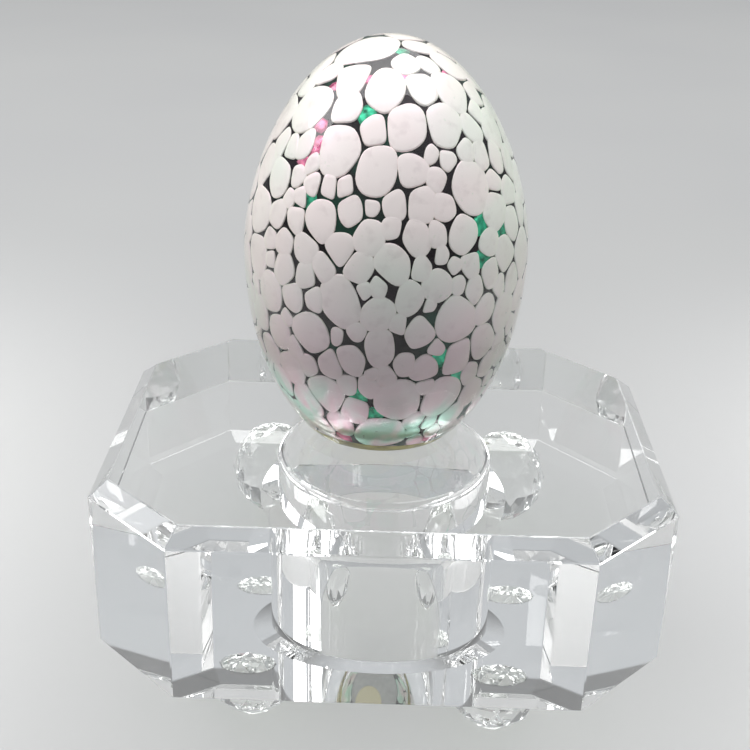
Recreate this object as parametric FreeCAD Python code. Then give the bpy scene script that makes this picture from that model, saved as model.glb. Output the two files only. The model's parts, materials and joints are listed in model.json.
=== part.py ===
"""Cased art-glass egg standing loose on a cut-crystal block with four faceted ball feet.

Millimetres, +Z up. The origin is the middle of the block's footprint, on the plane
that the feet stand on. Every separate piece is written to parts/NODE.step.
"""

import FreeCAD, Part
import math
import os
import random

Vector = FreeCAD.Vector

# ---- driving sizes: the crystal block ----
BLOCK_LENGTH = 114.0
BLOCK_DEPTH = 90.0
BLOCK_HEIGHT = 37.0
CORNER_CUT_X = 17.7
CORNER_CUT_Y = 16.9
BEVEL_SIDE = 3.7        # width of the top bevel along the four long sides, seen from above
BEVEL_CORNER = 4.0      # the same along the cut corners
BEVEL_DROP = 3.1

# ---- driving sizes: the round recess ground into the underside ----
RECESS_RADIUS = 22.5
RECESS_CEILING_RADIUS = 21.0
RECESS_DEPTH = 25.4
RECESS_EDGE_DROP = 3.4  # height of the cone between the wall and the flat ceiling
RECESS_Y = -2.6         # the recess is ground a little forward of the block's middle
MOUTH_RADIUS = 26.3
MOUTH_CHAMFER = 1.2

# ---- driving sizes: the feet and their cement ----
FOOT_RADIUS = 9.7
FOOT_FLAT_RADIUS = 5.7
FOOT_PLACES = {         # the feet are cemented on by eye, so no two match exactly
    "front_left": (-26.0, -25.4),
    "front_right": (24.2, -27.6),
    "rear_left": (-25.6, 19.6),
    "rear_right": (28.0, 18.8),
}
FOOT_SIDES = 12
FOOT_BANDS = 5
CEMENT = 0.1

# ---- driving sizes: the egg ----
EGG_RADIUS = 28.5
EGG_HEIGHT = 80.0
EGG_WIDEST_Z = 38.5
EGG_BASE_RADIUS = 16.0
EGG_TOP_POWER = 1.676   # fullness of the curve above the widest level; 2 is an ellipse
EGG_LOW_POWER = 2.135   # fullness of the curve below it
EGG_X = -1.0
EGG_Y = 4.3
EGG_GAP = 0.05          # two ground faces touch only at their high spots

# ---- the layers of the egg, as depths below its outer surface ----
CORE_INSET = 6.4
LAYER_GAP = 0.05
FLAKE_THICKNESS = 0.25
CHIP_THICKNESS = 0.8
FLAKE_INSET = CORE_INSET - LAYER_GAP
CHIP_INSET = FLAKE_INSET - FLAKE_THICKNESS - LAYER_GAP
CASING_WALL = CHIP_INSET - CHIP_THICKNESS - LAYER_GAP
CORE_SKIRT = 1.0        # height over which the core meets the casing at the base
RIM_HEIGHT = 2.4
RIM_WIDTH = 1.7

# ---- the round label in its shallow pocket under the egg ----
LABEL_RADIUS = 5.6
LABEL_THICKNESS = 0.12
LABEL_SHIFT = Vector(-2.4, -4.2, 0)     # stuck on by hand, off the middle of the base
POCKET_MARGIN = 0.1
POCKET_DEPTH = 0.2

# ---- the colour on the core ----
CHIP_COUNT = 330
CHIP_MEAN_RADIUS = 2.45
FLAKE_COUNT = 14
FLAKE_RADIUS = 2.6
GOLDEN_ANGLE = math.pi * (3.0 - math.sqrt(5.0))
OUTLINE_STEPS = 9

FOOT_CENTRE_DROP = math.sqrt(FOOT_RADIUS ** 2 - FOOT_FLAT_RADIUS ** 2)
FOOT_TOP_LATITUDE = math.asin(FOOT_CENTRE_DROP / FOOT_RADIUS)
FOOT_BAND_ANGLE = FOOT_TOP_LATITUDE / 2.0
FOOT_LOW_LATITUDE = FOOT_TOP_LATITUDE - FOOT_BANDS * FOOT_BAND_ANGLE
FOOT_CENTRE_Z = -FOOT_RADIUS * math.sin(FOOT_LOW_LATITUDE)
FOOT_TOP_Z = FOOT_CENTRE_Z + FOOT_CENTRE_DROP
BLOCK_Z = FOOT_TOP_Z + CEMENT
BLOCK_TOP_Z = BLOCK_Z + BLOCK_HEIGHT
EGG_Z = BLOCK_TOP_Z + EGG_GAP


# ---- shared shapes ----
def revolved(outline):
    """A solid from a closed list of edges in the XZ plane, turned about the Z axis."""
    face = Part.Face(Part.Wire(outline))
    return face.revolve(Vector(0, 0, 0), Vector(0, 0, 1), 360)


def polygon_edges(points):
    closed = points + [points[0]]
    return [Part.LineSegment(a, b).toShape() for a, b in zip(closed, closed[1:])]


def octagon(length, depth, cut_x, cut_y, z):
    """Corner points of a rectangle with cut corners, anticlockwise from above."""
    x, y = length / 2.0, depth / 2.0
    quarter = [(x, y - cut_y), (x - cut_x, y)]
    points = quarter + [(-a, b) for a, b in reversed(quarter)]
    points += [(-a, -b) for a, b in points]
    return [Vector(a, b, z) for a, b in points]


def octagon_wire(*sizes):
    return Part.Wire(polygon_edges(octagon(*sizes)))


# ---- the stand ----
def inner_cut(cut, other_cut):
    """A corner cut on the top face, once both bevels have moved its ends inwards."""
    slope = math.hypot(cut, other_cut) / other_cut
    return cut + BEVEL_CORNER * slope - BEVEL_SIDE * (1.0 + cut / other_cut)


def crystal_block():
    shoulder = BLOCK_TOP_Z - BEVEL_DROP
    low = octagon_wire(BLOCK_LENGTH, BLOCK_DEPTH, CORNER_CUT_X, CORNER_CUT_Y, BLOCK_Z)
    edge = octagon_wire(BLOCK_LENGTH, BLOCK_DEPTH, CORNER_CUT_X, CORNER_CUT_Y, shoulder)
    top = octagon_wire(
        BLOCK_LENGTH - 2 * BEVEL_SIDE,
        BLOCK_DEPTH - 2 * BEVEL_SIDE,
        inner_cut(CORNER_CUT_X, CORNER_CUT_Y),
        inner_cut(CORNER_CUT_Y, CORNER_CUT_X),
        BLOCK_TOP_Z,
    )
    prism = Part.makeLoft([low, edge], True, True)
    bevel = Part.makeLoft([edge, top], True, True)
    return prism.fuse(bevel).removeSplitter().cut(recess())


def recess():
    ceiling = BLOCK_Z + RECESS_DEPTH
    hollow = revolved(polygon_edges([
        Vector(0, 0, BLOCK_Z),
        Vector(MOUTH_RADIUS, 0, BLOCK_Z),
        Vector(RECESS_RADIUS, 0, BLOCK_Z + MOUTH_CHAMFER),
        Vector(RECESS_RADIUS, 0, ceiling - RECESS_EDGE_DROP),
        Vector(RECESS_CEILING_RADIUS, 0, ceiling),
        Vector(0, 0, ceiling),
    ]))
    hollow.translate(Vector(0, RECESS_Y, 0))
    return hollow


def foot_ring(x, y, band):
    """The corners of one ring of a faceted ball; each ring is turned half a facet."""
    latitude = FOOT_TOP_LATITUDE - band * FOOT_BAND_ANGLE
    radius = FOOT_RADIUS * math.cos(latitude)
    height = FOOT_CENTRE_Z + FOOT_RADIUS * math.sin(latitude)
    step = 2.0 * math.pi / FOOT_SIDES
    turns = [(side + 0.5 * (band % 2)) * step for side in range(FOOT_SIDES)]
    return [Vector(x + radius * math.cos(t), y + radius * math.sin(t), height) for t in turns]


def facet(*corners):
    return Part.Face(Part.Wire(polygon_edges(list(corners))))


def foot(x, y):
    """A faceted crystal ball with a flat top for the cement and a small flat to stand on."""
    rings = [foot_ring(x, y, band) for band in range(FOOT_BANDS + 1)]
    faces = [facet(*rings[0]), facet(*rings[-1])]
    for band in range(FOOT_BANDS):
        upper, lower = rings[band], rings[band + 1]
        for side in range(FOOT_SIDES):
            after = (side + 1) % FOOT_SIDES
            if band % 2 == 0:
                faces.append(facet(upper[side], lower[side], upper[after]))
                faces.append(facet(lower[side], lower[after], upper[after]))
            else:
                faces.append(facet(upper[side], lower[side], lower[after]))
                faces.append(facet(upper[side], lower[after], upper[after]))
    solid = Part.makeSolid(Part.makeShell(faces))
    if solid.Volume < 0:
        solid.reverse()
    return solid


def foot_cement(x, y):
    """The film of clear cement between a foot and the block."""
    radius = FOOT_FLAT_RADIUS * math.cos(math.pi / FOOT_SIDES)
    return Part.makeCylinder(radius, CEMENT, Vector(x, y, FOOT_TOP_Z))


# ---- the egg ----
class Profile:
    """The egg's outline, or one like it that lies a given depth below the surface."""

    def __init__(self, inset):
        self.widest = EGG_RADIUS - inset
        self.rise = EGG_HEIGHT - inset - EGG_WIDEST_Z
        base = EGG_BASE_RADIUS - inset
        self.narrowing = 1.0 - (base / self.widest) ** 2

    def radius(self, z):
        if z >= EGG_WIDEST_Z:
            share = ((z - EGG_WIDEST_Z) / self.rise) ** EGG_TOP_POWER
        else:
            share = self.narrowing * ((EGG_WIDEST_Z - z) / EGG_WIDEST_Z) ** EGG_LOW_POWER
        return self.widest * math.sqrt(max(0.0, 1.0 - share))

    def points(self):
        """Radius and height from the base up to the pole, closer where it curves more."""
        low_turn = math.asin(math.sqrt(self.narrowing))
        low = []
        for step in range(OUTLINE_STEPS, 0, -1):
            turn = low_turn * step / OUTLINE_STEPS
            drop = (math.sin(turn) ** 2 / self.narrowing) ** (1.0 / EGG_LOW_POWER)
            low.append((self.widest * math.cos(turn), EGG_WIDEST_Z * (1.0 - drop)))
        high = []
        for step in range(OUTLINE_STEPS):
            turn = 0.5 * math.pi * step / OUTLINE_STEPS
            climb = math.sin(turn) ** (2.0 / EGG_TOP_POWER)
            high.append((self.widest * math.cos(turn), EGG_WIDEST_Z + self.rise * climb))
        return low + high + [(0.0, EGG_WIDEST_Z + self.rise)]

    def solid(self):
        points = [Vector(r, 0, z) for r, z in self.points()]
        curve = Part.BSplineCurve()
        curve.interpolate(points)
        foot_centre = Vector(0, 0, 0)
        flat = Part.LineSegment(foot_centre, points[0]).toShape()
        axis = Part.LineSegment(points[-1], foot_centre).toShape()
        return revolved([flat, curve.toShape(), axis])

    def place(self, z, turn):
        """The point on the surface at a height and a turn, and its two tangents."""
        step = 0.05
        lower, upper = max(0.0, z - step), min(EGG_WIDEST_Z + self.rise, z + step)
        slope = (self.radius(upper) - self.radius(lower)) / (upper - lower)
        outward = Vector(math.cos(turn), math.sin(turn), 0)
        point = outward * self.radius(z) + Vector(0, 0, z)
        around = Vector(-math.sin(turn), math.cos(turn), 0)
        upward = (outward * slope + Vector(0, 0, 1)).normalize()
        return point, around, upward


def slice_of(solid, low, high):
    size = 4.0 * EGG_RADIUS
    slab = Part.makeBox(size, size, high - low, Vector(-size / 2, -size / 2, low))
    return solid.common(slab)


def stand_on_block(shape):
    moved = shape.copy()
    moved.translate(Vector(EGG_X, EGG_Y, EGG_Z))
    return moved


def egg_base_rim():
    """The amber ring round the edge of the egg's flat base."""
    ring = Profile(0.0).solid().cut(Profile(RIM_WIDTH).solid())
    return slice_of(ring, 0.0, RIM_HEIGHT)


def egg_casing():
    shell = Profile(0.0).solid().cut(Profile(CASING_WALL).solid())
    return shell.cut(egg_base_rim())


def egg_core():
    """The dark middle, flared over its last millimetre so that it meets the casing."""
    skirt = slice_of(Profile(CASING_WALL).solid(), 0.0, CORE_SKIRT)
    body = Profile(CORE_INSET).solid().fuse(skirt).removeSplitter()
    return body.cut(Part.makeCylinder(LABEL_RADIUS + POCKET_MARGIN, POCKET_DEPTH, LABEL_SHIFT))


def base_label():
    """A small round paper label on the ceiling of the pocket, facing down."""
    low = LABEL_SHIFT + Vector(0, 0, POCKET_DEPTH - LABEL_THICKNESS)
    return Part.makeCylinder(LABEL_RADIUS, LABEL_THICKNESS, low)


def even_places(profile, count, lowest):
    """Heights and turns that spread evenly over the surface, from a golden spiral."""
    levels = 400
    top = EGG_WIDEST_Z + profile.rise
    heights = [lowest + (top - lowest) * i / levels for i in range(levels + 1)]
    area = [0.0]
    for low, high in zip(heights, heights[1:]):
        r_low, r_high = profile.radius(low), profile.radius(high)
        area.append(area[-1] + (r_low + r_high) * math.hypot(high - low, r_high - r_low))
    places = []
    level = 0
    for index in range(count):
        wanted = area[-1] * (index + 0.5) / count
        while area[level + 1] < wanted:
            level += 1
        share = (wanted - area[level]) / (area[level + 1] - area[level])
        z = heights[level] + share * (heights[level + 1] - heights[level])
        places.append((z, index * GOLDEN_ANGLE))
    return places


def oval_cutter(profile, z, turn, half_width, half_height, depth):
    """An upright oval bar, square to the surface, that reaches a little past the layer."""
    point, around, upward = profile.place(z, turn)
    outward = around.cross(upward)
    start = point - outward * depth
    if half_height > half_width:
        ellipse = Part.Ellipse(start + upward * half_height, start + around * half_width, start)
    else:
        ellipse = Part.Ellipse(start + around * half_width, start + upward * half_height, start)
    face = Part.Face(Part.Wire(ellipse.toShape()))
    return face.extrude(outward * 2.0 * depth)


def flake_cutter(profile, z, turn, radius, corners, depth, chance):
    """An angular bar, square to the surface, for one broken flake of colour."""
    point, around, upward = profile.place(z, turn)
    outward = around.cross(upward)
    start = point - outward * depth
    rim = []
    for corner in range(corners):
        angle = 2.0 * math.pi * (corner + 0.3 * chance.random()) / corners
        reach = radius * chance.uniform(0.7, 1.0)
        rim.append(start + around * reach * math.cos(angle) + upward * reach * math.sin(angle))
    face = Part.Face(Part.Wire(polygon_edges(rim)))
    return face.extrude(outward * 2.0 * depth)


def layer_of(inset, thickness):
    return Profile(inset - thickness).solid().cut(Profile(inset).solid())


def egg_white_frit():
    """Rounded opal-white chips, all round the core, in one layer just outside it."""
    chance = random.Random(11)
    middle = Profile(CHIP_INSET - CHIP_THICKNESS / 2.0)
    layer = layer_of(CHIP_INSET, CHIP_THICKNESS)
    chips = []
    for z, turn in even_places(middle, CHIP_COUNT, CORE_SKIRT + CHIP_MEAN_RADIUS):
        width = CHIP_MEAN_RADIUS * chance.uniform(0.78, 0.98)
        height = CHIP_MEAN_RADIUS * chance.uniform(0.98, 1.12)
        cutter = oval_cutter(middle, z, turn, width, height, 2.0 * CHIP_THICKNESS)
        chips.append(layer.common(cutter))
    return Part.makeCompound([solid for chip in chips for solid in chip.Solids])


def egg_flakes(seed, shift):
    """Thin angular flakes of coloured foil on the core, under the white chips."""
    chance = random.Random(seed)
    middle = Profile(FLAKE_INSET - FLAKE_THICKNESS / 2.0)
    layer = layer_of(FLAKE_INSET, FLAKE_THICKNESS)
    flakes = []
    for z, turn in even_places(middle, 2 * FLAKE_COUNT, CORE_SKIRT + FLAKE_RADIUS)[shift::2]:
        radius = FLAKE_RADIUS * chance.uniform(0.75, 1.0)
        corners = chance.choice([5, 6, 7])
        cutter = flake_cutter(middle, z, turn, radius, corners, 1.0, chance)
        flakes.append(layer.common(cutter))
    return Part.makeCompound([solid for flake in flakes for solid in flake.Solids])


def build():
    nodes = {
        "crystal_block": crystal_block(),
        "egg_casing": stand_on_block(egg_casing()),
        "egg_core": stand_on_block(egg_core()),
        "egg_white_frit": stand_on_block(egg_white_frit()),
        "egg_green_flakes": stand_on_block(egg_flakes(3, 0)),
        "egg_pink_flakes": stand_on_block(egg_flakes(5, 1)),
        "egg_base_rim": stand_on_block(egg_base_rim()),
        "base_label": stand_on_block(base_label()),
    }
    for name, (x, y) in FOOT_PLACES.items():
        nodes["foot_" + name] = foot(x, y)
        nodes["cement_" + name] = foot_cement(x, y)
    return nodes


os.makedirs("parts", exist_ok=True)
for node, shape in build().items():
    shape.exportStep("parts/" + node + ".step")
    sizes = [round(value, 2) for value in (shape.BoundBox.ZMin, shape.BoundBox.ZMax, shape.Volume)]
    print(node, "solids", len(shape.Solids), "valid", shape.isValid(), "low, high, volume", sizes)
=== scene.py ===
import json
import math

import bmesh
import bpy
import numpy as np
from mathutils import Matrix, Vector


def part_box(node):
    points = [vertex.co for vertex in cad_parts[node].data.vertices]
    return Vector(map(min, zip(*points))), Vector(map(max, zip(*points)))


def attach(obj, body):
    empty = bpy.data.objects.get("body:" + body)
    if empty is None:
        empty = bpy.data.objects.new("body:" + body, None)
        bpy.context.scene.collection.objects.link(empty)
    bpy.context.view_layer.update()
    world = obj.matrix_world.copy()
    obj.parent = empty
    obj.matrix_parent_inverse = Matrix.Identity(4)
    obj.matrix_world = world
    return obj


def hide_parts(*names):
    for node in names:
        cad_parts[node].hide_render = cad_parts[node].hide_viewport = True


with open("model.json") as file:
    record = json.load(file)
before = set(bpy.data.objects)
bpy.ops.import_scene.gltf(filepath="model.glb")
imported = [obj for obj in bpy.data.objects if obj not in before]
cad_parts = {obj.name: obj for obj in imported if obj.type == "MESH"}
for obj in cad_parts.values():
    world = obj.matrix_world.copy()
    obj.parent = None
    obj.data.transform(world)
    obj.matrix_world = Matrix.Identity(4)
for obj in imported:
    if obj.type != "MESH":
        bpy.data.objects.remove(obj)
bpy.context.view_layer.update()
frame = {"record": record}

MM = 0.001
TURN = 2.0 * math.pi

# ---- what the frame says ----
BLOCK_LOW, BLOCK_HIGH = [Vector(corner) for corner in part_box("crystal_block")]
CASING_LOW, CASING_HIGH = [Vector(corner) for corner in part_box("egg_casing")]
CORE_LOW, CORE_HIGH = [Vector(corner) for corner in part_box("egg_core")]
RIM_LOW, RIM_HIGH = [Vector(corner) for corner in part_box("egg_base_rim")]
LABEL_LOW, LABEL_HIGH = [Vector(corner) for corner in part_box("base_label")]
MOUNTS = {mount["name"]: mount for mount in frame["record"]["mounts"]}
RECESS_MIDDLE = Vector(MOUNTS["light_recess"]["pos_m"])
RECESS_RADIUS = MOUNTS["light_recess"]["dims"]["r_mm"] * MM
RECESS_WALL = MOUNTS["light_recess"]["dims"]["length_mm"] * MM
BLOCK_LENGTH = BLOCK_HIGH.x - BLOCK_LOW.x
BLOCK_DEPTH = BLOCK_HIGH.y - BLOCK_LOW.y
EGG_AXIS = Vector(((RIM_LOW.x + RIM_HIGH.x) / 2, (RIM_LOW.y + RIM_HIGH.y) / 2, CASING_LOW.z))
EGG_HEIGHT = CASING_HIGH.z - CASING_LOW.z
RIM_HEIGHT = RIM_HIGH.z - RIM_LOW.z

# ---- the block's cutting, as the stand's own design gives it ----
CORNER_CUT_X = 17.7 * MM
CORNER_CUT_Y = 16.9 * MM
BEVEL_SIDE = 3.7 * MM
BEVEL_CORNER = 4.0 * MM
BEVEL_DROP = 3.1 * MM
RECESS_CEILING_RADIUS = 21.0 * MM
RECESS_EDGE_DROP = 3.4 * MM
MOUTH_RADIUS = 26.3 * MM
MOUTH_CHAMFER = 1.2 * MM
RECESS_CEILING = BLOCK_LOW.z + MOUTH_CHAMFER + RECESS_WALL + RECESS_EDGE_DROP
ARRIS = 0.18 * MM           # the fine flat left on every cut edge of the block
FOOT_ARRIS = 0.4 * ARRIS
FOOT_SIDES = 12
FOOT_BANDS = 5
FOOT_BANDS_ABOVE = 2        # bands between a foot's flat top and its widest level
FOOT_FLAT_RADIUS = 5.7 * MM
OPTICAL_BITE = 0.05 * MM    # overlap where glass meets glass; the core's base is as far up
CEMENT_OVERLAP = 0.02 * MM  # a cement film runs this far past its heights, into the glass

# ---- the egg ----
EGG_RADIUS = 28.5 * MM
EGG_WIDEST_Z = 38.5 * MM
EGG_BASE_RADIUS = 16.0 * MM
EGG_TOP_POWER = 1.676
EGG_LOW_POWER = 2.135
CORE_INSET = EGG_HEIGHT - (CORE_HIGH.z - CORE_LOW.z)
CHIP_THICKNESS = 0.8 * MM
CHIP_COUNT = 350
CHIP_WIDTH = 0.90           # an average chip is a little taller than it is wide
CHIP_TALLNESS = 1.11
CHIP_CORNERS = 28
MERGED_SHARE = 0.40         # of the pairs of neighbours, so many have run together
GAP_TILT = 0.12             # radians: a gap between two chips is wider at one end
MELTING = 3                 # smoothing passes over a chip's outline
MELT_REGAIN = 1.035         # and how far it then spreads again
CHIP_FLOOR = 0.35 * MM      # the chips stop this far above the ground base
LOWEST_MIDDLE = 1.0 * MM    # and a chip's middle is kept about this far above it
FLAKE_REACH = 0.7 * MM      # a flake runs on by about this much under the chips around it
CORE_LIFT = 0.6             # the chips are pressed this share of their depth into the core
CHIP_SEED = 23
CHIP_STRAY = 1.1 * MM       # how far a chip starts from its place on an even spiral
SIZE_SPREAD = 0.34          # of the natural logarithm of a chip's radius
SMALLEST_CHIP = 0.5         # radius, as a share of the ordinary chip's
LARGEST_CHIP = 1.8
CROWDING = 1.06             # the chips' ovals have this share of the core's area
SETTLE_PASSES = 90
PUSH_SHARE = 0.28           # of an overlap, so much is pushed apart in one pass
MERGED_GAP = -0.45 * MM     # chips that have run together overlap by this much
GAP_START_MM = -0.08        # any other gap is this, plus its drawn number times the growth
GAP_GROWTH_MM = 0.76
OVAL_POINTS = 20            # a chip starts as an oval with this many points
OVAL_SIZE = 1.18            # and this much over its own radius, before it is cut back
NEIGHBOURS = 15             # chips that may cut into another
LEAST_RISE = 0.2            # of an upward tangent, where it is divided by
# The (size, lift) of a raised patch's rings, from its edge inwards.
CHIP_RINGS = [(1.0, 0.2), (1.0, 0.86), (0.975, 0.97), (0.94, 1.0), (0.5, 1.0)]
FLAKE_RINGS = [(1.0, 0.4), (0.97, 0.68), (0.5, 0.72)]
AMBER_INSET = 0.12 * MM     # the amber lies this far inside the casing's skin
AMBER_WIDTH = 0.8 * MM
AMBER_TURN = math.radians(232)     # it is highest here, at the front left
LABEL_GAP = 0.03 * MM       # between the label's face and the plane of the egg's base
LABEL_CURL = 0.01 * MM

# ---- how finely round shapes are divided ----
CASING_STEPS = 192
RECESS_STEPS = 192
CORE_STEPS = 144
CEMENT_STEPS = 96
LABEL_STEPS = 72
READING_STEPS = 200         # for an outline that is only read from
BELOW_BASE = 1.02           # its depth under the widest level, as a share of the base's
AXIS_REACH = 1e-7           # a radius under this is a point on the axis
TINY = 1e-9                 # keeps a divisor from being zero

# ---- faces that meet at less than this angle shade smooth ----
BLOCK_SMOOTH = math.radians(14)
FOOT_SMOOTH = math.radians(5)
CEMENT_SMOOTH = math.radians(30)
CASING_SMOOTH = math.radians(30)
CHIP_SMOOTH = math.radians(42)

# ---- glass ----
CRYSTAL_TINT = (0.985, 0.99, 0.985)
CRYSTAL_IOR = 1.52
CASING_TINT = (0.99, 0.995, 0.99)
CASING_IOR = 1.5
CEMENT_TINT = (0.97, 0.975, 0.96)
CEMENT_IOR = 1.0            # it lies between glass and glass, and bends no light of its own


# ---- small helpers ----
def mesh_piece(name, points, faces, material):
    """A piece from points and faces, smooth all over."""
    mesh = bpy.data.meshes.new(name)
    mesh.from_pydata([tuple(p) for p in points], [], faces)
    mesh.validate()
    mesh.materials.append(material)
    mesh.polygons.foreach_set("use_smooth", [True] * len(mesh.polygons))
    piece = bpy.data.objects.new(name, mesh)
    bpy.context.scene.collection.objects.link(piece)
    return piece


def bmesh_piece(name, shape, material, smooth_angle):
    """Turn a bmesh into a piece that shades smooth where its faces meet gently."""
    bmesh.ops.recalc_face_normals(shape, faces=shape.faces[:])
    for face in shape.faces:
        face.smooth = True
    for edge in shape.edges:
        sharp = len(edge.link_faces) == 2 and edge.calc_face_angle(0.0) > smooth_angle
        edge.smooth = not sharp
    mesh = bpy.data.meshes.new(name)
    shape.to_mesh(mesh)
    shape.free()
    mesh.materials.append(material)
    piece = bpy.data.objects.new(name, mesh)
    bpy.context.scene.collection.objects.link(piece)
    return piece


def shape_of(points, faces):
    """A bmesh from points and faces."""
    shape = bmesh.new()
    verts = [shape.verts.new(point) for point in points]
    for face in faces:
        shape.faces.new([verts[corner] for corner in face])
    return shape


def bridge(shape, ring, after):
    """Four-sided faces all round between two rings of points."""
    for corner in range(len(ring)):
        follow = (corner + 1) % len(ring)
        shape.faces.new([ring[corner], ring[follow], after[follow], after[corner]])


def lathe(outline, centre, steps):
    """Points and faces of a closed outline of (radius, height) turned about a vertical axis."""
    points, faces, rings = [], [], []
    for radius, height in outline:
        if radius < AXIS_REACH:
            rings.append([len(points)] * steps)
            points.append((centre.x, centre.y, centre.z + height))
            continue
        rings.append(list(range(len(points), len(points) + steps)))
        for step in range(steps):
            turn = TURN * step / steps
            x, y = centre.x + radius * math.cos(turn), centre.y + radius * math.sin(turn)
            points.append((x, y, centre.z + height))
    closed = rings + [rings[0]]
    for ring, after in zip(closed, closed[1:]):
        for step in range(steps):
            follow = (step + 1) % steps
            corners = [ring[step], ring[follow], after[follow], after[step]]
            face = list(dict.fromkeys(corners))
            if len(face) > 2:
                faces.append(face)
    return points, faces


# ---- materials ----
def new_material(name):
    """A fresh material, with its nodes, its links and its shader."""
    material = bpy.data.materials.new(name)
    material.use_nodes = True
    nodes, links = material.node_tree.nodes, material.node_tree.links
    return material, nodes, links, nodes["Principled BSDF"]


def noise(nodes, scale, detail=2.0):
    """Noise in the piece's own metres: scale is the number of blotches in a metre."""
    place = nodes.new("ShaderNodeTexCoord")
    texture = nodes.new("ShaderNodeTexNoise")
    texture.inputs["Scale"].default_value = scale
    texture.inputs["Detail"].default_value = detail
    nodes.id_data.links.new(place.outputs["Object"], texture.inputs["Vector"])
    return texture


def ramp(nodes, source, stops):
    """A colour ramp fed by a value, with (position, colour) stops."""
    made = nodes.new("ShaderNodeValToRGB")
    elements = made.color_ramp.elements
    while len(elements) < len(stops):
        elements.new(0.5)
    for element, (position, colour) in zip(elements, stops):
        element.position = position
        element.color = (*colour, 1.0)
    nodes.id_data.links.new(source, made.inputs["Fac"])
    return made


def spread(nodes, source, low, high):
    """Map a value from 0..1 to low..high."""
    made = nodes.new("ShaderNodeMapRange")
    made.inputs["To Min"].default_value = low
    made.inputs["To Max"].default_value = high
    nodes.id_data.links.new(source, made.inputs["Value"])
    return made.outputs["Result"]


def clear_glass(name, tint, ior, smear):
    """Clear glass that lets lamps through, with a faint uneven smear on its polish."""
    material, nodes, links, shader = new_material(name)
    shader.inputs["Base Color"].default_value = (*tint, 1.0)
    shader.inputs["Transmission Weight"].default_value = 1.0
    shader.inputs["IOR"].default_value = ior
    film = noise(nodes, 60.0, 3.0)
    links.new(spread(nodes, film.outputs["Fac"], 0.0, smear), shader.inputs["Roughness"])
    through = nodes.new("ShaderNodeBsdfTransparent")
    through.inputs["Color"].default_value = (*tint, 1.0)
    path = nodes.new("ShaderNodeLightPath")
    soft = nodes.new("ShaderNodeMath")
    soft.operation = "MAXIMUM"
    links.new(path.outputs["Is Shadow Ray"], soft.inputs[0])
    links.new(path.outputs["Is Diffuse Ray"], soft.inputs[1])
    mix = nodes.new("ShaderNodeMixShader")
    links.new(soft.outputs["Value"], mix.inputs["Fac"])
    links.new(shader.outputs["BSDF"], mix.inputs[1])
    links.new(through.outputs["BSDF"], mix.inputs[2])
    links.new(mix.outputs["Shader"], nodes["Material Output"].inputs["Surface"])
    return material


def blend(nodes, kind, factor, first, second):
    """Mix two colours; factor is a number or a socket, and kind a blend type."""
    mix = nodes.new("ShaderNodeMix")
    mix.data_type = "RGBA"
    mix.blend_type = kind
    links = nodes.id_data.links
    if isinstance(factor, float):
        mix.inputs["Factor"].default_value = factor
    else:
        links.new(factor, mix.inputs["Factor"])
    links.new(first, mix.inputs["A"])
    links.new(second, mix.inputs["B"])
    return mix.outputs["Result"]


def height_ramp(nodes, stops):
    """Black to white by height above the egg's base, with (height, brightness) stops."""
    place = nodes.new("ShaderNodeTexCoord")
    split = nodes.new("ShaderNodeSeparateXYZ")
    nodes.id_data.links.new(place.outputs["Object"], split.inputs["Vector"])
    share = nodes.new("ShaderNodeMapRange")
    share.inputs["From Min"].default_value = CASING_LOW.z
    share.inputs["From Max"].default_value = CASING_HIGH.z
    nodes.id_data.links.new(split.outputs["Z"], share.inputs["Value"])
    shades = [(height / EGG_HEIGHT, (shade, shade, shade)) for height, shade in stops]
    return ramp(nodes, share.outputs["Result"], shades).outputs["Color"]


def streaks(nodes, across, along):
    """Noise drawn out along Z, for the streaks of the painted mint and pink gleam."""
    place = nodes.new("ShaderNodeTexCoord")
    squeeze = nodes.new("ShaderNodeMapping")
    squeeze.inputs["Scale"].default_value = (across, across, along)
    texture = nodes.new("ShaderNodeTexNoise")
    texture.inputs["Scale"].default_value = 1.0
    texture.inputs["Detail"].default_value = 2.0
    links = nodes.id_data.links
    links.new(place.outputs["Object"], squeeze.inputs["Vector"])
    links.new(squeeze.outputs["Vector"], texture.inputs["Vector"])
    return texture.outputs["Fac"]


def multiplied(nodes, first, second):
    """One value times another."""
    made = nodes.new("ShaderNodeMath")
    made.operation = "MULTIPLY"
    nodes.id_data.links.new(first, made.inputs[0])
    nodes.id_data.links.new(second, made.inputs[1])
    return made.outputs["Value"]


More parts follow.
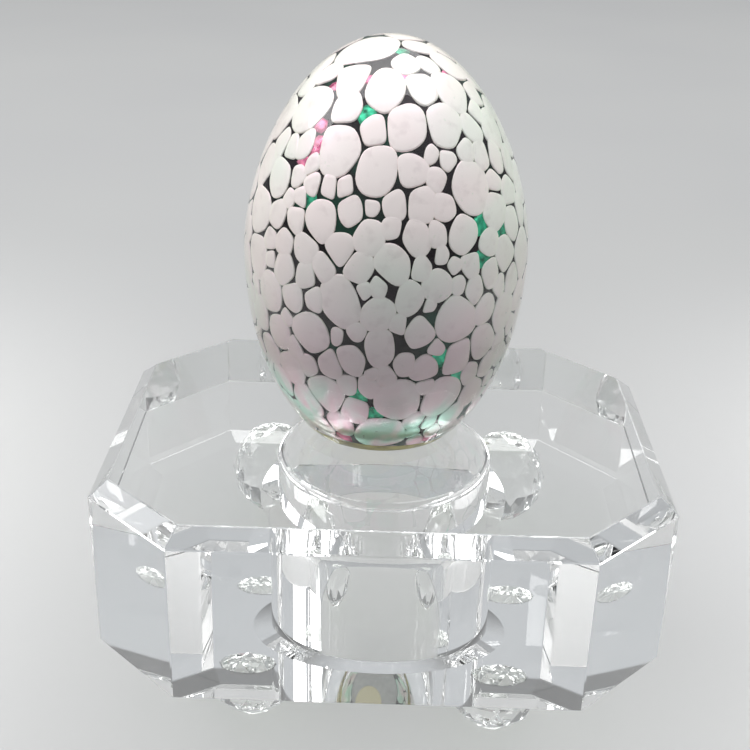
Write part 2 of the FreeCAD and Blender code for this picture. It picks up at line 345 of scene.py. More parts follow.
def opal_white():
    """Opal-white glass, drifting from pink to green, darkened towards the base by painted shade, with a
    metallic lustre and a painted mint and pink gleam towards the base.
    """
    material, nodes, links, shader = new_material("opal_white")
    drift = ramp(nodes, noise(nodes, 45.0, 1.0).outputs["Fac"], [
        (0.42, (0.87, 0.92, 0.83)),
        (0.52, (0.93, 0.895, 0.84)),
        (0.62, (0.95, 0.87, 0.83)),
    ])
    cloud = ramp(nodes, noise(nodes, 420.0, 4.0).outputs["Fac"], [
        (0.28, (0.80, 0.78, 0.78)),
        (0.45, (1.0, 1.0, 1.0)),
    ])
    cloudy = blend(nodes, "MULTIPLY", 0.5, drift.outputs["Color"], cloud.outputs["Color"])
    # painted shade: the white is darkened towards the egg's base, where shade falls on the lower chips
    painted_base_shade = height_ramp(nodes, [(4.0 * MM, 0.55), (24.0 * MM, 0.54), (50.0 * MM, 1.0)])
    white = blend(nodes, "MULTIPLY", 1.0, cloudy, painted_base_shade)
    # painted gleam: near the base the colour turns to streaked mint and pink, a painted reflection of
    # light; the same mask raises the metallic lustre, which reflects the lamps
    painted_gleam_colour = ramp(nodes, streaks(nodes, 170.0, 60.0), [
        (0.40, (0.52, 0.92, 0.76)),
        (0.50, (0.92, 0.96, 0.94)),
        (0.62, (0.98, 0.68, 0.78)),
    ])
    band = height_ramp(nodes, [(1.5 * MM, 0.8), (9.0 * MM, 1.0), (20.0 * MM, 0.0)])
    patch = ramp(nodes, noise(nodes, 60.0, 1.0).outputs["Fac"], [
        (0.36, (0.0, 0.0, 0.0)),
        (0.52, (1.0, 1.0, 1.0)),
    ])
    lustre_and_painted_gleam = multiplied(nodes, band, patch.outputs["Color"])
    links.new(blend(nodes, "MIX", lustre_and_painted_gleam, white, painted_gleam_colour.outputs["Color"]), shader.inputs["Base Color"])
    links.new(spread(nodes, lustre_and_painted_gleam, 0.0, 0.65), shader.inputs["Metallic"])
    links.new(spread(nodes, noise(nodes, 900.0).outputs["Fac"], 0.22, 0.42), shader.inputs["Roughness"])
    shader.inputs["Specular IOR Level"].default_value = 0.3
    shader.inputs["Thin Film Thickness"].default_value = 520.0
    shader.inputs["Thin Film IOR"].default_value = 1.6
    return material


def dark_core():
    """Near-black glass with dim green and purple patches, ground matt and grey across its base."""
    material, nodes, links, shader = new_material("dark_core")
    skin = ramp(nodes, noise(nodes, 90.0, 3.0).outputs["Fac"], [
        (0.35, (0.012, 0.004, 0.009)),
        (0.55, (0.008, 0.006, 0.007)),
        (0.64, (0.004, 0.040, 0.024)),
    ])
    ground = ramp(nodes, noise(nodes, 700.0, 4.0).outputs["Fac"], [
        (0.3, (0.48, 0.48, 0.47)),
        (0.7, (0.62, 0.62, 0.60)),
    ])
    base = height_ramp(nodes, [(0.10 * MM, 1.0), (0.16 * MM, 0.0)])
    links.new(blend(nodes, "MIX", base, skin.outputs["Color"], ground.outputs["Color"]),
              shader.inputs["Base Color"])
    links.new(spread(nodes, base, 0.15, 0.7), shader.inputs["Roughness"])
    shader.inputs["Specular IOR Level"].default_value = 0.15
    return material


def foil(name, deep, bright):
    """Crinkled iridescent foil, from a deep to a bright shade of one colour."""
    material, nodes, links, shader = new_material(name)
    crinkle = noise(nodes, 700.0, 4.0)
    colour = ramp(nodes, crinkle.outputs["Fac"], [(0.35, deep), (0.65, bright)])
    links.new(colour.outputs["Color"], shader.inputs["Base Color"])
    shader.inputs["Metallic"].default_value = 0.6
    shader.inputs["Roughness"].default_value = 0.35
    bump = nodes.new("ShaderNodeBump")
    bump.inputs["Strength"].default_value = 0.4
    bump.inputs["Distance"].default_value = 0.2 * MM
    links.new(crinkle.outputs["Fac"], bump.inputs["Height"])
    links.new(bump.outputs["Normal"], shader.inputs["Normal"])
    return material


def amber_glass():
    """Amber glass, streaked from deep to bright."""
    material, nodes, links, shader = new_material("amber_glass")
    colour = ramp(nodes, noise(nodes, 300.0, 3.0).outputs["Fac"], [
        (0.3, (0.14, 0.12, 0.015)),
        (0.7, (0.44, 0.38, 0.07)),
    ])
    links.new(colour.outputs["Color"], shader.inputs["Base Color"])
    shader.inputs["Roughness"].default_value = 0.3
    return material


def label_paper():
    """Matt yellowish paper with a fine fibre."""
    material, nodes, links, shader = new_material("label_paper")
    fibre = ramp(nodes, noise(nodes, 4000.0, 4.0).outputs["Fac"], [
        (0.3, (0.62, 0.55, 0.33)),
        (0.7, (0.80, 0.74, 0.52)),
    ])
    links.new(fibre.outputs["Color"], shader.inputs["Base Color"])
    shader.inputs["Roughness"].default_value = 0.8
    return material


def floor_material():
    """The plain pale floor, with hardly any drift in its grey."""
    material, nodes, links, shader = new_material("floor")
    colour = ramp(nodes, noise(nodes, 4.0, 2.0).outputs["Fac"], [
        (0.3, (0.33, 0.33, 0.33)),
        (0.7, (0.35, 0.35, 0.345)),
    ])
    links.new(colour.outputs["Color"], shader.inputs["Base Color"])
    shader.inputs["Roughness"].default_value = 0.6
    return material


# ---- the crystal stand ----
def octagon(length, depth, cut_x, cut_y, z):
    """A rectangle's outline at one height, its four corners cut off."""
    x, y = length / 2.0, depth / 2.0
    quarter = [(x, y - cut_y), (x - cut_x, y)]
    corners = quarter + [(-a, b) for a, b in reversed(quarter)]
    corners += [(-a, -b) for a, b in corners]
    return [(a, b, z) for a, b in corners]


def inner_cut(cut, other_cut):
    """The corner cut along one side at the top of the bevels, from the cuts below them."""
    slope = math.hypot(cut, other_cut) / other_cut
    return cut + BEVEL_CORNER * slope - BEVEL_SIDE * (1.0 + cut / other_cut)


def recess_outline():
    """Radius and height of the recess wall, from its mouth to the flat ceiling."""
    foot = RECESS_CEILING - RECESS_EDGE_DROP
    side = RECESS_RADIUS - RECESS_CEILING_RADIUS
    outline = [(MOUTH_RADIUS, BLOCK_LOW.z), (RECESS_RADIUS, BLOCK_LOW.z + MOUTH_CHAMFER)]
    steps = 6
    for step in range(steps + 1):
        turn = 0.5 * math.pi * step / steps
        radius = RECESS_CEILING_RADIUS + side * math.cos(turn)
        outline.append((radius, foot + RECESS_EDGE_DROP * math.sin(turn)))
    return outline


def crystal_block(material):
    """The cut block: octagonal sides, a bevelled top, and a recess turned into the underside."""
    shape = bmesh.new()
    outer = (BLOCK_LENGTH, BLOCK_DEPTH, CORNER_CUT_X, CORNER_CUT_Y)
    inner = (
        BLOCK_LENGTH - 2 * BEVEL_SIDE,
        BLOCK_DEPTH - 2 * BEVEL_SIDE,
        inner_cut(CORNER_CUT_X, CORNER_CUT_Y),
        inner_cut(CORNER_CUT_Y, CORNER_CUT_X),
    )
    levels = [
        octagon(*outer, BLOCK_LOW.z),
        octagon(*outer, BLOCK_HIGH.z - BEVEL_DROP),
        octagon(*inner, BLOCK_HIGH.z),
    ]
    rings = [[shape.verts.new(p) for p in level] for level in levels]
    for ring, after in zip(rings, rings[1:]):
        bridge(shape, ring, after)
    shape.faces.new(rings[-1])
    shape.faces.new(rings[0][::-1])
    bmesh.ops.bevel(shape, geom=shape.edges[:], offset=ARRIS, segments=1, affect="EDGES")
    shape.faces.ensure_lookup_table()
    bottom = min(shape.faces, key=lambda face: face.calc_center_median().z)
    rim = list(bottom.verts)
    shape.faces.remove(bottom)
    circles = []
    for radius, height in recess_outline():
        ring = []
        for step in range(RECESS_STEPS):
            turn = TURN * step / RECESS_STEPS
            x = RECESS_MIDDLE.x + radius * math.cos(turn)
            y = RECESS_MIDDLE.y + radius * math.sin(turn)
            ring.append(shape.verts.new((x, y, height)))
        circles.append(ring)
    for circle, after in zip(circles, circles[1:]):
        bridge(shape, circle, after)
    shape.faces.new(circles[-1])
    fill_between(shape, rim, circles[0])
    return bmesh_piece("cut_crystal_block", shape, material, BLOCK_SMOOTH)


def fill_between(shape, rim, circle):
    """Flat faces between an outer polygon and a circle inside it, joined corner to corner."""
    def turn_of(vert):
        away = vert.co - RECESS_MIDDLE
        return math.atan2(away.y, away.x) % TURN

    order = sorted(rim, key=turn_of)
    joins = [round(turn_of(vert) / TURN * len(circle)) for vert in order]
    for index, vert in enumerate(order):
        after = order[(index + 1) % len(order)]
        start, stop = joins[index], joins[(index + 1) % len(order)]
        if stop < start:
            stop += len(circle)
        arc = [circle[step % len(circle)] for step in range(start, stop + 1)]
        shape.faces.new([vert, after] + arc[::-1])


def faceted_foot(name, material):
    """A faceted crystal ball that reaches just into the block, as cemented glass looks."""
    low, high = [Vector(corner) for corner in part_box(name)]
    centre_x, centre_y = (low.x + high.x) / 2, (low.y + high.y) / 2
    radius = (high.x - low.x) / 2
    top_latitude = math.acos(FOOT_FLAT_RADIUS / radius)
    band_angle = top_latitude / FOOT_BANDS_ABOVE
    centre_z = high.z - radius * math.sin(top_latitude)
    shape = bmesh.new()
    rings = []
    for band in range(FOOT_BANDS + 1):
        latitude = top_latitude - band * band_angle
        across, height = radius * math.cos(latitude), centre_z + radius * math.sin(latitude)
        if band == 0:
            height = BLOCK_LOW.z + OPTICAL_BITE
        ring = []
        for side in range(FOOT_SIDES):
            turn = TURN * (side + 0.5 * (band % 2)) / FOOT_SIDES
            x, y = centre_x + across * math.cos(turn), centre_y + across * math.sin(turn)
            ring.append(shape.verts.new((x, y, height)))
        rings.append(ring)
    shape.faces.new(rings[0])
    shape.faces.new(rings[-1][::-1])
    for band in range(FOOT_BANDS):
        upper, lower = rings[band], rings[band + 1]
        for side in range(FOOT_SIDES):
            after = (side + 1) % FOOT_SIDES
            if band % 2 == 0:
                shape.faces.new([upper[side], lower[side], upper[after]])
                shape.faces.new([lower[side], lower[after], upper[after]])
            else:
                shape.faces.new([upper[side], lower[side], lower[after]])
                shape.faces.new([upper[side], lower[after], upper[after]])
    bmesh.ops.bevel(shape, geom=shape.edges[:], offset=FOOT_ARRIS, segments=1, affect="EDGES")
    piece = bmesh_piece(name.replace("foot", "crystal_foot"), shape, material, FOOT_SMOOTH)
    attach(piece, "stand")
    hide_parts(name)


def cement_film(name, material):
    """A thin disc of clear cement with a slightly uneven edge."""
    low, high = [Vector(corner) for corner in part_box(name)]
    centre = Vector(((low.x + high.x) / 2, (low.y + high.y) / 2, 0.0))
    radius = (high.x - low.x) / 2
    shape = bmesh.new()
    rings = []
    for height in (low.z - CEMENT_OVERLAP, high.z + CEMENT_OVERLAP):
        ring = []
        for step in range(CEMENT_STEPS):
            turn = TURN * step / CEMENT_STEPS
            waver = 0.97 + 0.02 * math.sin(3 * turn + centre.x * 90) + 0.01 * math.sin(7 * turn)
            reach = radius * waver
            x, y = centre.x + reach * math.cos(turn), centre.y + reach * math.sin(turn)
            ring.append(shape.verts.new((x, y, height)))
        rings.append(ring)
    bridge(shape, rings[0], rings[1])
    shape.faces.new(rings[0][::-1])
    shape.faces.new(rings[1])
    piece = bmesh_piece(name.replace("cement", "cement_film"), shape, material, CEMENT_SMOOTH)
    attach(piece, "stand")
    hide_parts(name)


def paper_label(material):
    """The plain round label under the egg, its edge curled down a hair."""
    radius = (LABEL_HIGH.x - LABEL_LOW.x) / 2
    middle_x, middle_y = (LABEL_LOW.x + LABEL_HIGH.x) / 2, (LABEL_LOW.y + LABEL_HIGH.y) / 2
    centre = Vector((middle_x, middle_y, CASING_LOW.z))
    top = LABEL_HIGH.z - CASING_LOW.z
    outline = [
        (0.0, LABEL_GAP),
        (radius * 0.9, LABEL_GAP),
        (radius, LABEL_GAP - LABEL_CURL),
        (radius, top),
        (0.0, top),
    ]
    points, faces = lathe(outline, centre, LABEL_STEPS)
    piece = mesh_piece("plain_paper_label", points, faces, material)
    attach(piece, "egg")
    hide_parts("base_label")


# ---- the egg's outline ----
class Profile:
    """The egg's outline at a depth below its surface, measured from the base's centre."""

    def __init__(self, inset):
        self.widest = EGG_RADIUS - inset
        self.rise = EGG_HEIGHT - inset - EGG_WIDEST_Z
        base = EGG_BASE_RADIUS - inset
        self.narrowing = 1.0 - (base / self.widest) ** 2
        outline = self.points(READING_STEPS, BELOW_BASE)
        angles = [math.atan2(r, z - EGG_WIDEST_Z) for r, z in outline]
        reaches = [math.hypot(r, z - EGG_WIDEST_Z) for r, z in outline]
        order = np.argsort(angles)
        self.angles, self.reaches = np.array(angles)[order], np.array(reaches)[order]

    def points(self, steps, lowest=1.0):
        """Radius and height up the outline; lowest over 1 runs on below the base."""
        low_turn = math.asin(math.sqrt(self.narrowing * lowest ** EGG_LOW_POWER))
        outline = []
        for step in range(steps, 0, -1):
            turn = low_turn * step / steps
            drop = (math.sin(turn) ** 2 / self.narrowing) ** (1.0 / EGG_LOW_POWER)
            outline.append((self.widest * math.cos(turn), EGG_WIDEST_Z * (1.0 - drop)))
        for step in range(steps):
            turn = 0.5 * math.pi * step / steps
            climb = math.sin(turn) ** (2.0 / EGG_TOP_POWER)
            outline.append((self.widest * math.cos(turn), EGG_WIDEST_Z + self.rise * climb))
        return outline + [(0.0, EGG_WIDEST_Z + self.rise)]

    def reach(self, directions):
        """How far the surface lies from the widest level's centre, along unit directions."""
        angles = np.arccos(np.clip(directions[:, 2], -1.0, 1.0))
        return np.interp(angles, self.angles, self.reaches)


MIDDLE = np.array([0.0, 0.0, EGG_WIDEST_Z])     # where lines out through the layers start
CORE = Profile(CORE_INSET)
CHIP_TOP = Profile(CORE_INSET - CHIP_THICKNESS)


def onto_core(points, lift):
    """Move points radially on to the core; lift 0 is its surface and 1 a chip's top."""
    away = points - MIDDLE
    directions = away / np.linalg.norm(away, axis=1)[:, None]
    low, high = CORE.reach(directions), CHIP_TOP.reach(directions)
    return MIDDLE + directions * (low + (high - low) * lift)[:, None]


def tangents(points):
    """The level and the upward tangent of the core at each point."""
    turn = np.arctan2(points[:, 1], points[:, 0])
    around = np.stack([-np.sin(turn), np.cos(turn), np.zeros(len(points))], axis=1)
    step = 0.1 * MM
    above = onto_core(points + np.array([0.0, 0.0, step]), 0.0)
    below = onto_core(points - np.array([0.0, 0.0, step]), 0.0)
    upward = above - below
    upward -= around * np.sum(upward * around, axis=1)[:, None]
    upward /= np.linalg.norm(upward, axis=1)[:, None]
    return around, upward


def core_place(turn_deg, height):
    """A point on the core; turn 0 faces the front and +90 the right-hand side."""
    turn = math.radians(turn_deg) - 0.5 * math.pi
    points = np.array(CORE.points(READING_STEPS))
    radius = np.interp(height, points[:, 1], points[:, 0])
    return np.array([radius * math.cos(turn), radius * math.sin(turn), height])


# ---- places where the core or a flake shows: turn in degrees, height, radius, colour ----
# The first 32 stand for gaps seen on the real egg's front, and the rest are invented.
OPENINGS = [
    (9.0, 27.5 * MM, 1.6 * MM, "dark"),
    (16.0, 26.5 * MM, 1.1 * MM, "dark"),
    (21.0, 33.0 * MM, 1.0 * MM, "dark"),
    (-27.0, 31.5 * MM, 0.9 * MM, "dark"),
    (3.0, 38.0 * MM, 0.9 * MM, "dark"),
    (-16.0, 28.0 * MM, 0.8 * MM, "dark"),
    (-6.0, 23.0 * MM, 0.9 * MM, "dark"),
    (-3.0, 51.5 * MM, 0.8 * MM, "dark"),
    (-22.0, 48.5 * MM, 0.7 * MM, "dark"),
    (-42.0, 41.0 * MM, 0.8 * MM, "dark"),
    (20.0, 44.5 * MM, 0.8 * MM, "dark"),
    (32.0, 55.0 * MM, 0.8 * MM, "dark"),
    (18.0, 61.5 * MM, 0.9 * MM, "dark"),
    (68.0, 73.5 * MM, 0.3 * MM, "green"),
    (-18.0, 66.5 * MM, 0.9 * MM, "green"),
    (-40.0, 52.0 * MM, 0.8 * MM, "green"),
    (48.0, 48.0 * MM, 1.2 * MM, "green"),
    (62.0, 46.0 * MM, 0.8 * MM, "green"),
    (47.0, 42.0 * MM, 0.9 * MM, "green"),
    (28.0, 24.0 * MM, 1.1 * MM, "green"),
    (40.0, 20.0 * MM, 1.0 * MM, "green"),
    (-12.0, 16.0 * MM, 1.1 * MM, "green"),
    (-4.0, 12.0 * MM, 1.0 * MM, "green"),
    (-26.0, 71.0 * MM, 0.2 * MM, "pink"),
    (16.0, 71.5 * MM, 0.2 * MM, "pink"),
    (80.0, 70.5 * MM, 0.2 * MM, "pink"),
    (-60.0, 69.0 * MM, 0.3 * MM, "pink"),
    (-46.0, 60.5 * MM, 1.3 * MM, "pink"),
    (-50.0, 63.5 * MM, 0.7 * MM, "pink"),
    (-51.0, 57.5 * MM, 0.7 * MM, "pink"),
    (-28.0, 4.0 * MM, 0.8 * MM, "pink"),
    (39.0, 4.0 * MM, 0.8 * MM, "pink"),
    (-135.0, 62.0 * MM, 1.1 * MM, "green"),
    (-115.0, 30.0 * MM, 1.0 * MM, "green"),
    (-160.0, 20.0 * MM, 1.2 * MM, "green"),
    (170.0, 47.0 * MM, 1.0 * MM, "green"),
    (128.0, 25.0 * MM, 1.1 * MM, "green"),
    (110.0, 56.0 * MM, 0.9 * MM, "green"),
    (-105.0, 48.0 * MM, 1.0 * MM, "pink"),
    (-150.0, 40.0 * MM, 1.0 * MM, "pink"),
    (150.0, 62.0 * MM, 1.1 * MM, "pink"),
    (140.0, 12.0 * MM, 0.9 * MM, "pink"),
    (100.0, 36.0 * MM, 0.8 * MM, "pink"),
    (-175.0, 66.0 * MM, 0.8 * MM, "pink"),
    (-92.0, 14.0 * MM, 1.0 * MM, "dark"),
    (-130.0, 52.0 * MM, 0.9 * MM, "dark"),
    (160.0, 33.0 * MM, 1.1 * MM, "dark"),
    (118.0, 44.0 * MM, 0.9 * MM, "dark"),
]


def spiral_places(count):
    """Points spread evenly over the core above its base, on a golden spiral."""
    outline = np.array(CORE.points(READING_STEPS))
    radius, height = outline[:, 0], outline[:, 1]
    length = np.hypot(np.diff(radius), np.diff(height))
    area = np.concatenate([[0.0], np.cumsum((radius[1:] + radius[:-1]) * 0.5 * length)])
    wanted = area[-1] * (np.arange(count) + 0.5) / count
    z = np.interp(wanted, area, height)
    r = np.interp(wanted, area, radius)
    turn = np.arange(count) * math.pi * (3.0 - math.sqrt(5.0))
    return np.stack([r * np.cos(turn), r * np.sin(turn), z], axis=1), area[-1] * TURN


def settle(points, radii, fixed):
    """Push chips apart until each has room for its own radius."""
    count = len(points)
    for _ in range(SETTLE_PASSES):
        around, upward = tangents(points)
        gap = points[None, :, :] - points[:, None, :]
        across = np.einsum("ijk,ik->ij", gap, upward) / CHIP_TALLNESS
        flat = np.linalg.norm(gap - np.einsum("ij,ik->ijk", across * CHIP_TALLNESS, upward), axis=2)
        apart = np.hypot(across, flat / CHIP_WIDTH) + np.eye(count)
        wanted = radii[None, :] + radii[:, None]
        push = np.clip((wanted - apart) / apart, 0.0, None)
        np.fill_diagonal(push, 0.0)
        push = np.where(apart > wanted, 0.0, push)
        move = -PUSH_SHARE * np.einsum("ij,ijk->ik", push, gap)
        move[fixed] = 0.0
        points = points + move
        points[:, 2] = np.clip(points[:, 2], LOWEST_MIDDLE, None)
        points = onto_core(points, 0.0)
    return points


def cut_polygon(polygon, normal, limit):
    """Keep the part of a convex polygon on the near side of a line."""
    kept = []
    for index, point in enumerate(polygon):
        after = polygon[(index + 1) % len(polygon)]
        here, there = point @ normal - limit, after @ normal - limit
        if here <= 0.0:
            kept.append(point)
        if here * there < 0.0:
            kept.append(point + (after - point) * here / (here - there))
    return kept


def rounded(polygon, corners):
    """Space a polygon's points evenly, then melt its corners as the hot glass did."""
    points = np.array(polygon)
    loop = np.concatenate([points, points[:1]])
    length = np.concatenate([[0.0], np.cumsum(np.linalg.norm(np.diff(loop, axis=0), axis=1))])
    wanted = np.linspace(0.0, length[-1], corners, endpoint=False)
    points = np.stack([np.interp(wanted, length, loop[:, axis]) for axis in (0, 1)], axis=1)
    middle = points.mean(axis=0)
    for _ in range(MELTING):
        points = 0.5 * points + 0.25 * (np.roll(points, 1, axis=0) + np.roll(points, -1, axis=0))
    return middle + (points - middle) * MELT_REGAIN


def chip_outline(index, points, radii, around, upward, gaps, tilts):
    """One chip's outline in its own tangent plane: an oval cut back from its neighbours."""
    stretch = np.array([CHIP_WIDTH, CHIP_TALLNESS])
    turns = np.arange(OVAL_POINTS) * TURN / OVAL_POINTS
    polygon = list(np.stack([np.cos(turns), np.sin(turns)], axis=1) * radii[index] * OVAL_SIZE)
    away = points - points[index]
    distance = np.linalg.norm(away, axis=1)
    for other in np.argsort(distance)[1:1 + NEIGHBOURS]:
        flat = np.array([away[other] @ around[index], away[other] @ upward[index]])
        flat *= distance[other] / max(np.linalg.norm(flat), TINY)
        flat = flat / stretch
        reach = np.linalg.norm(flat)
        limit = reach * radii[index] / (radii[index] + radii[other]) - gaps[index, other] / 2
        straight = flat / reach
        sideways = np.array([-straight[1], straight[0]])
        tilted = straight * math.cos(tilts[index, other]) + sideways * math.sin(tilts[index, other])
        polygon = cut_polygon(polygon, tilted, limit * math.cos(tilts[index, other]))
        if len(polygon) < 3:
            return None
    floor = (CHIP_FLOOR - points[index][2]) / CHIP_TALLNESS / max(upward[index][2], LEAST_RISE)
    polygon = cut_polygon(polygon, np.array([0.0, -1.0]), -floor)
    if len(polygon) < 3:
        return None
    return rounded(polygon, CHIP_CORNERS) * stretch


def raised_patch(outline, centre, around, upward, rings):
    """A closed pad over an outline: (size, lift) rings from its edge inwards, then its back."""
    middle = outline.mean(axis=0)
    points, faces = [], []
    for size, lift in rings:
        flat = middle + (outline - middle) * size
        spots = centre + flat[:, :1] * around + flat[:, 1:] * upward
        points.append(onto_core(spots, lift))
    tip = centre + middle[0] * around + middle[1] * upward
    points.append(onto_core(tip[None, :], rings[-1][1]))
    points.append(onto_core(tip[None, :], rings[0][1]))
    points = np.concatenate(points)
    points[:, 2] = np.maximum(points[:, 2], CHIP_FLOOR)
    corners, last = len(outline), len(rings) - 1
    for level in range(last):
        for corner in range(corners):
            follow = (corner + 1) % corners
            low, high = level * corners, (level + 1) * corners
            faces.append([low + corner, low + follow, high + follow, high + corner])
    top, back = len(points) - 2, len(points) - 1
    for corner in range(corners):
        follow = (corner + 1) % corners
        faces.append([last * corners + corner, last * corners + follow, top])
        faces.append([follow, corner, back])
    return points, faces


def joined(patches):
    """Many patches as one set of points and faces, moved to the egg's place on the block."""
    points, faces, count = [], [], 0
    for patch_points, patch_faces in patches:
        points.append(patch_points)
        faces += [[count + corner for corner in face] for face in patch_faces]
        count += len(patch_points)
    return np.concatenate(points) + np.array(EGG_AXIS), faces


def lay_out_chips():
    """Every chip's place and size, round the openings, and the gap and its taper for each pair."""
    chance = np.random.RandomState(CHIP_SEED)
    start, area = spiral_places(CHIP_COUNT)
    start = onto_core(start + chance.normal(0.0, CHIP_STRAY, start.shape), 0.0)
    radii = np.exp(chance.normal(0.0, SIZE_SPREAD, CHIP_COUNT))
    radii = np.clip(radii, SMALLEST_CHIP, LARGEST_CHIP)
    ovals = math.pi * np.sum(radii ** 2) * CHIP_WIDTH * CHIP_TALLNESS
    radii *= math.sqrt(CROWDING * area / ovals)
    held = np.array([core_place(turn, height) for turn, height, _, _ in OPENINGS])
    held_radii = np.array([radius for _, _, radius, _ in OPENINGS])
    points = np.concatenate([start, held])
    radii = np.concatenate([radii, held_radii])
    fixed = np.arange(len(points)) >= CHIP_COUNT
    points = settle(points, radii, fixed)
    drawn = np.triu(chance.rand(len(points), len(points)), 1)
    drawn += drawn.T
    apart = (GAP_START_MM + GAP_GROWTH_MM * drawn) * MM
    gaps = np.where(drawn < MERGED_SHARE, MERGED_GAP, apart)
    tilts = np.triu(chance.normal(0.0, GAP_TILT, gaps.shape), 1)
    return points, radii, gaps, tilts - tilts.T


def white_frit(points, radii, gaps, tilts, material):
    """Flat opal chips with a fine rounded edge, run together where their gap is negative."""
    around, upward = tangents(points)
    patches = []
    for index in range(CHIP_COUNT):
        outline = chip_outline(index, points, radii, around, upward, gaps, tilts)
        if outline is None:
            continue
        patch = raised_patch(outline, points[index], around[index], upward[index], CHIP_RINGS)
        patches.append(patch)
    piece = bmesh_piece("opal_white_chips", shape_of(*joined(patches)), material, CHIP_SMOOTH)
    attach(piece, "egg")
    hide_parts("egg_white_frit")


def flakes(colour, node, material, seed):
    """Angular flakes under the chips, one at each opening of their colour."""
    chance = np.random.RandomState(seed)
    patches = []
    for turn, height, radius, kind in OPENINGS:
        if kind != colour:
            continue
        centre = core_place(turn, height)
        around, upward = tangents(centre[None, :])
        corners = chance.randint(6, 10)
        angles = (np.arange(corners) + chance.uniform(-0.3, 0.3, corners)) * TURN / corners
        reach = (FLAKE_REACH + radius) * chance.uniform(0.9, 1.4, corners)
        outline = np.stack([np.cos(angles), np.sin(angles)], axis=1) * reach[:, None]
        patches.append(raised_patch(outline, centre, around[0], upward[0], FLAKE_RINGS))
    spots, faces = joined(patches)
    piece = mesh_piece(colour + "_iridescent_flakes", spots, faces, material)
    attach(piece, "egg")
    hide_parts(node)


def egg_casing(material):
    """The clear outer glass; its inner wall runs just inside the dark core's skin."""
    outside_steps, inside_steps = 110, 60
    outside = Profile(0.0).points(outside_steps)
    inside = Profile(CORE_INSET + 2 * OPTICAL_BITE).points(inside_steps)
    shape = shape_of(*lathe(outside + inside[::-1], EGG_AXIS, CASING_STEPS))
    piece = bmesh_piece("clear_glass_casing", shape, material, CASING_SMOOTH)
    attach(piece, "egg")
    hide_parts("egg_casing")


def egg_core(material):
    """The dark core, swollen until the chips are pressed into it."""
    outline_steps = 70
    outline = Profile(CORE_INSET - CORE_LIFT * CHIP_THICKNESS).points(outline_steps)
    outline[0] = (outline[0][0], OPTICAL_BITE)
    points, faces = lathe([(0.0, OPTICAL_BITE)] + outline, EGG_AXIS, CORE_STEPS)
    piece = mesh_piece("dark_glass_core", points, faces, material)
    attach(piece, "egg")
    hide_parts("egg_core")


def egg_base_rim(material):
    """The amber band inside the casing's lower edge, highest and widest at the front left."""
    steps, levels, outline_steps = CORE_STEPS, 7, 120
    outline = np.array(Profile(AMBER_INSET).points(outline_steps))
    points, faces = [], []
    for step in range(steps):
        turn = TURN * step / steps
        lean = 0.5 + 0.5 * math.cos(turn - AMBER_TURN)
        height = RIM_HEIGHT * (0.2 + 0.8 * lean)
        width = AMBER_WIDTH * (0.5 + 0.5 * lean)
        for level in range(levels):
            z = OPTICAL_BITE + (height - OPTICAL_BITE) * level / (levels - 1)
            radius = np.interp(z, outline[:, 1], outline[:, 0])
            points.append((radius * math.cos(turn), radius * math.sin(turn), z))
        inner = EGG_BASE_RADIUS - width
        points.append((inner * math.cos(turn), inner * math.sin(turn), OPTICAL_BITE))
    row = levels + 1
    for step in range(steps):
        here, after = step * row, (step + 1) % steps * row
        for level in range(row):
            up = (level + 1) % row
            faces.append([here + level, after + level, after + up, here + up])
    piece = mesh_piece("amber_base_rim", np.array(points) + np.array(EGG_AXIS), faces, material)
    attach(piece, "egg")
    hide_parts("egg_base_rim")


# ---- the studio ----
HORIZON = (0.205, 0.207, 0.21)
ZENITH = (0.56, 0.58, 0.60)
FLOOR_HALF = 12.0
FLOOR_DROP = 0.02 * MM      # the floor lies this far under the feet


def floor(material):
    """A wide flat floor."""
    signs = [(-1, -1), (1, -1), (1, 1), (-1, 1)]
    corners = [(x * FLOOR_HALF, y * FLOOR_HALF, -FLOOR_DROP) for x, y in signs]
    piece = mesh_piece("floor", corners, [[0, 1, 2, 3]], material)


def softbox(name, place, target, width, height, power, spread_deg=180.0):
    """A rectangular lamp; a narrow spread acts as a honeycomb grid does, and keeps its beam in."""
    light = bpy.data.lights.new(name, "AREA")
    light.shape = "RECTANGLE"
    light.size, light.size_y = width, height
    light.energy = power
    light.spread = math.radians(spread_deg)
    lamp = bpy.data.objects.new(name, light)
    bpy.context.scene.collection.objects.link(lamp)
    lamp.location = place
    direction = Vector(target) - Vector(place)
    lamp.rotation_mode = "QUATERNION"
    lamp.rotation_quaternion = direction.to_track_quat("-Z", "Y")


def studio():
    """A pale room, darker at its horizon; a large lamp overhead, a fill and two floor washes."""
    world = bpy.data.worlds.new("studio")
    world.use_nodes = True
    nodes, links = world.node_tree.nodes, world.node_tree.links
    place = nodes.new("ShaderNodeTexCoord")
    split = nodes.new("ShaderNodeSeparateXYZ")
    links.new(place.outputs["Generated"], split.inputs["Vector"])
    sky = ramp(nodes, split.outputs["Z"], [(0.0, HORIZON), (0.05, HORIZON), (0.6, ZENITH)])
    links.new(sky.outputs["Color"], nodes["Background"].inputs["Color"])
    bpy.context.scene.world = world
    softbox("overhead", (0.15, 0.41, 1.8), (0.15, 0.41, 0.0), width=2.26, height=1.76, power=44.0)
    softbox("left_fill", (-0.69, 0.05, 0.70), (0.0, 0.0, 0.09), width=0.45, height=0.45, power=3.0)
    for side in (-1.0, 1.0):
        place, target = (0.24 * side, 0.0, 0.35), (0.24 * side, 0.0, 0.0)
        softbox("floor_wash", place, target, width=0.22, height=0.30, power=0.35, spread_deg=50.0)


# ---- the camera: angles in degrees, and lengths as shares of half the block's length ----
CAMERA_AZIMUTH = 0.36
CAMERA_ELEVATION = 25.8
CAMERA_ROLL = 1.64
CAMERA_DISTANCE = 4.38
CAMERA_AIM_ACROSS = -0.043
CAMERA_AIM_ABOVE = 0.201    # over the block's top
CAMERA_LENS = 57.58         # millimetres, on a 36 mm wide sensor


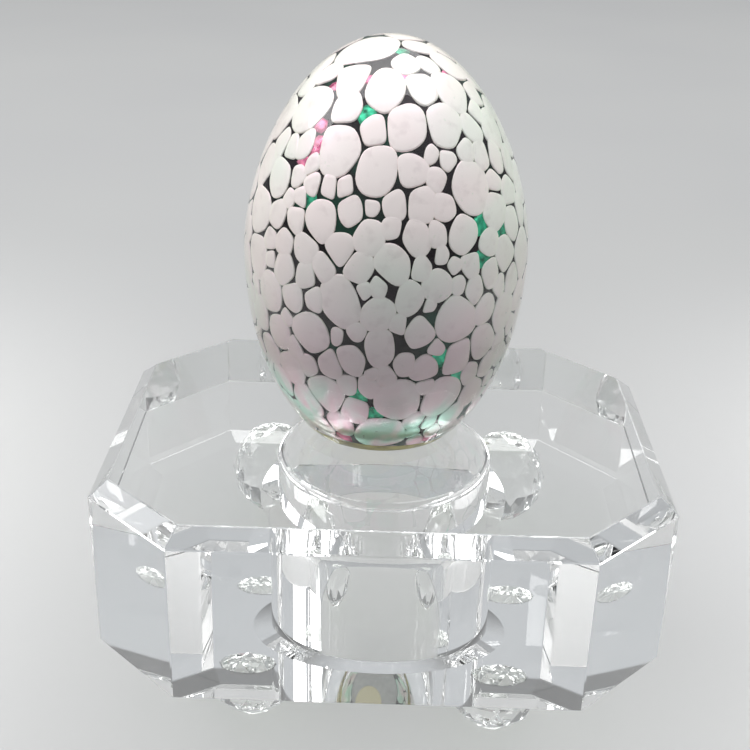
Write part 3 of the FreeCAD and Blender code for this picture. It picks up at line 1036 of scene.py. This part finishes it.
def camera():
    """The camera stands close, a little above, square to the block's long side."""
    scale = BLOCK_LENGTH / 2.0
    azimuth, elevation = math.radians(CAMERA_AZIMUTH), math.radians(CAMERA_ELEVATION)
    roll = math.radians(CAMERA_ROLL)
    back = Vector((
        math.sin(azimuth) * math.cos(elevation),
        -math.cos(azimuth) * math.cos(elevation),
        math.sin(elevation),
    ))
    right = (-back).cross(Vector((0.0, 0.0, 1.0))).normalized()
    up = right.cross(-back)
    tilted_right = right * math.cos(roll) + up * math.sin(roll)
    tilted_up = up * math.cos(roll) - right * math.sin(roll)
    target = Vector((CAMERA_AIM_ACROSS * scale, 0.0, BLOCK_HIGH.z + CAMERA_AIM_ABOVE * scale))
    data = bpy.data.cameras.new("camera")
    data.sensor_width = 36.0
    data.lens = CAMERA_LENS
    data.clip_start = 0.01
    eye = bpy.data.objects.new("camera", data)
    turn = Matrix((tilted_right, tilted_up, back)).transposed()
    eye.matrix_world = Matrix.Translation(target + back * CAMERA_DISTANCE * scale) @ turn.to_4x4()
    bpy.context.scene.collection.objects.link(eye)
    bpy.context.scene.camera = eye


def picture_settings():
    """Enough bounces for light to pass through the glass, with no noisy caustics."""
    scene = bpy.context.scene
    scene.cycles.max_bounces = 32
    scene.cycles.transmission_bounces = 32
    scene.cycles.transparent_max_bounces = 16
    scene.cycles.glossy_bounces = 32
    scene.cycles.caustics_refractive = False
    scene.cycles.caustics_reflective = False
    scene.view_settings.view_transform = "Standard"


# ---- put it together ----
camera()
picture_settings()
studio()
floor(floor_material())

crystal = clear_glass("cut_crystal", CRYSTAL_TINT, CRYSTAL_IOR, smear=0.012)
block = crystal_block(crystal)
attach(block, "stand")
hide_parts("crystal_block")
foot_glass = clear_glass("foot_crystal", CRYSTAL_TINT, CRYSTAL_IOR, smear=0.01)
cement = clear_glass("clear_cement", CEMENT_TINT, CEMENT_IOR, smear=0.0)
for end in ("front", "rear"):
    for side in ("left", "right"):
        faceted_foot("foot_" + end + "_" + side, foot_glass)
        cement_film("cement_" + end + "_" + side, cement)

egg_casing(clear_glass("egg_clear_glass", CASING_TINT, CASING_IOR, smear=0.01))
egg_core(dark_core())
white_frit(*lay_out_chips(), opal_white())
green_foil = foil("green_foil", deep=(0.0, 0.10, 0.05), bright=(0.05, 0.60, 0.34))
flakes("green", "egg_green_flakes", green_foil, seed=3)
pink_foil = foil("pink_foil", deep=(0.35, 0.03, 0.12), bright=(0.90, 0.28, 0.45))
flakes("pink", "egg_pink_flakes", pink_foil, seed=9)
egg_base_rim(amber_glass())
paper_label(label_paper())
